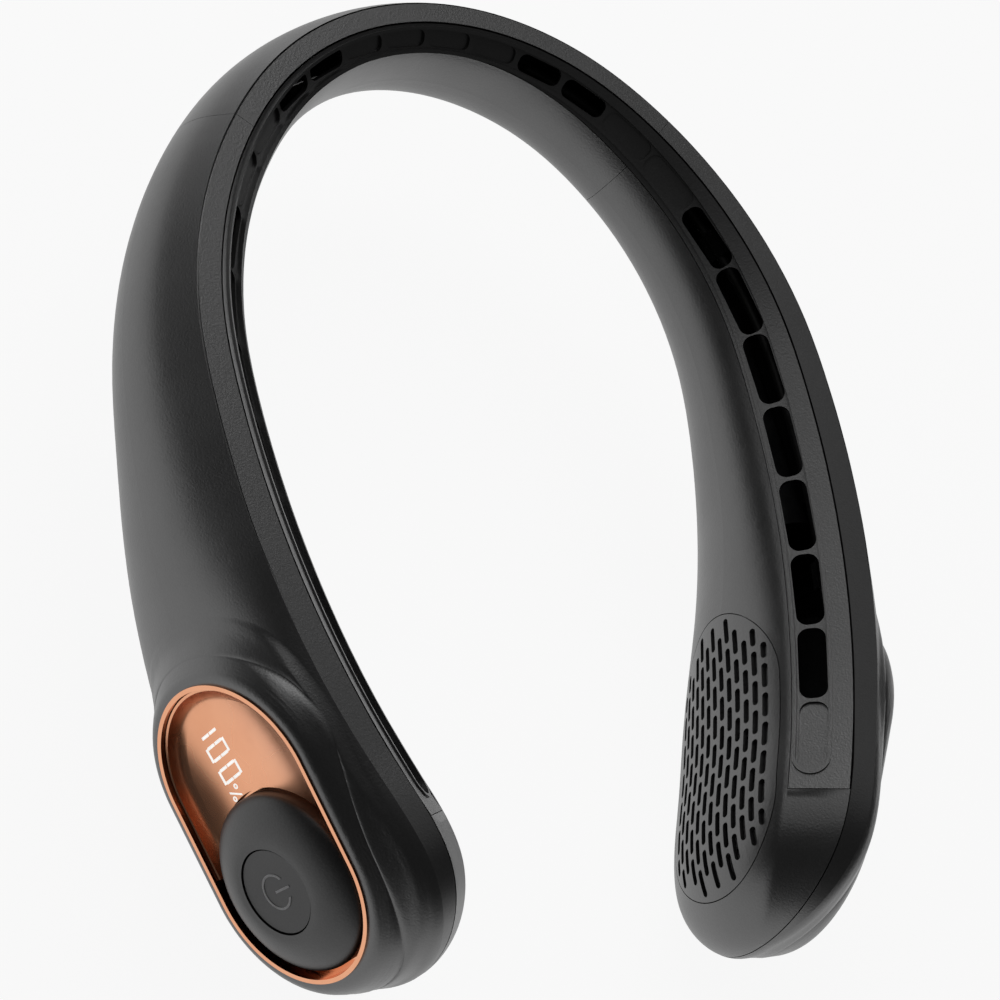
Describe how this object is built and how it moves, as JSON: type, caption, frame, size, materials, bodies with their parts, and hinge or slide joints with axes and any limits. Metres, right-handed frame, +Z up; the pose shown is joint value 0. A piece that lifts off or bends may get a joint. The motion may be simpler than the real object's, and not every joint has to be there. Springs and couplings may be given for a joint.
{
  "type": "neck fan",
  "caption": "U-shaped bladeless neck fan with slotted air strip along the band, intake grilles and fan pods at both ends, lit battery display, turning speed dial and push power button.",
  "frame": {"origin": "middle of the footprint, on the plane that the pods rest on", "axes": "+X toward the wearer's left pod, +Y toward the back of the neck, +Z up, the way the air strip and the flat rim face"},
  "size_m": [0.1696, 0.2044, 0.0572],
  "materials": {
    "casing": "fine matt grain",
    "dial": "fine matt grain",
    "button": "satin",
    "icon": "satin print",
    "rose_plate": "polished rose-gold plating",
    "digits": "lit white",
    "steel": "plain",
    "inner_plastic": "moulded",
    "motor": "turned",
    "bronze": "sintered",
    "board": "solder mask",
    "cell": "wrapped can",
    "cable": "sleeved"
  },
  "bodies": {
    "casing": {"arm_inner_left": "casing", "arm_inner_right": "casing", "arm_outer_left": "casing", "arm_outer_right": "casing", "back_inner": "casing", "back_outer": "casing", "bezel_left": "rose_plate", "bezel_right": "rose_plate", "board_left": "board", "board_right": "board", "board_screws_left": "steel", "board_screws_right": "steel", "button_switch": "steel", "cable": "cable", "cable_clips": "inner_plastic", "cell_cradle_left": "inner_plastic", "cell_cradle_right": "inner_plastic", "cell_left": "cell", "cell_right": "cell", "charge_port": "steel", "dial_clip": "steel", "display_digits": "digits", "display_leds": "digits", "display_plate_left": "rose_plate", "display_plate_right": "rose_plate", "fan_bearing_left": "bronze", "fan_bearing_right": "bronze", "fan_cover_left": "inner_plastic", "fan_cover_right": "inner_plastic", "fan_housing_left": "inner_plastic", "fan_housing_right": "inner_plastic", "fan_screws_left": "steel", "fan_screws_right": "steel", "grille_left": "casing", "grille_right": "casing", "motor_left": "motor", "motor_right": "motor", "pod_cap_right": "dial", "vent_strip": "casing"},
    "dial": {"speed_dial": "dial"},
    "button": {"power_button": "button", "power_icon": "icon"},
    "fan_left": {"impeller_left": "inner_plastic", "fan_shaft_left": "steel"},
    "fan_right": {"impeller_right": "inner_plastic", "fan_shaft_right": "steel"}
  },
  "joints": [
    {"name": "speed_dial_turn", "type": "hinge", "parent": "casing", "child": "dial", "pos_m": [-0.05355, -0.07474, 0.0249], "axis": [-0.9204, -0.3909, 0], "continuous": true},
    {"name": "power_button_press", "type": "slide", "parent": "casing", "child": "button", "axis": [0.9204, 0.3909, 0], "range_m": [0, 0.0005], "stiffness_N_per_m": 600},
    {"name": "fan_left_spin", "type": "hinge", "parent": "casing", "child": "fan_left", "pos_m": [-0.05355, -0.07474, 0.0269], "axis": [-0.9204, -0.3909, 0], "continuous": true},
    {"name": "fan_right_spin", "type": "hinge", "parent": "casing", "child": "fan_right", "pos_m": [0.05355, -0.07474, 0.0269], "axis": [0.9204, -0.3909, 0], "continuous": true}
  ]
}
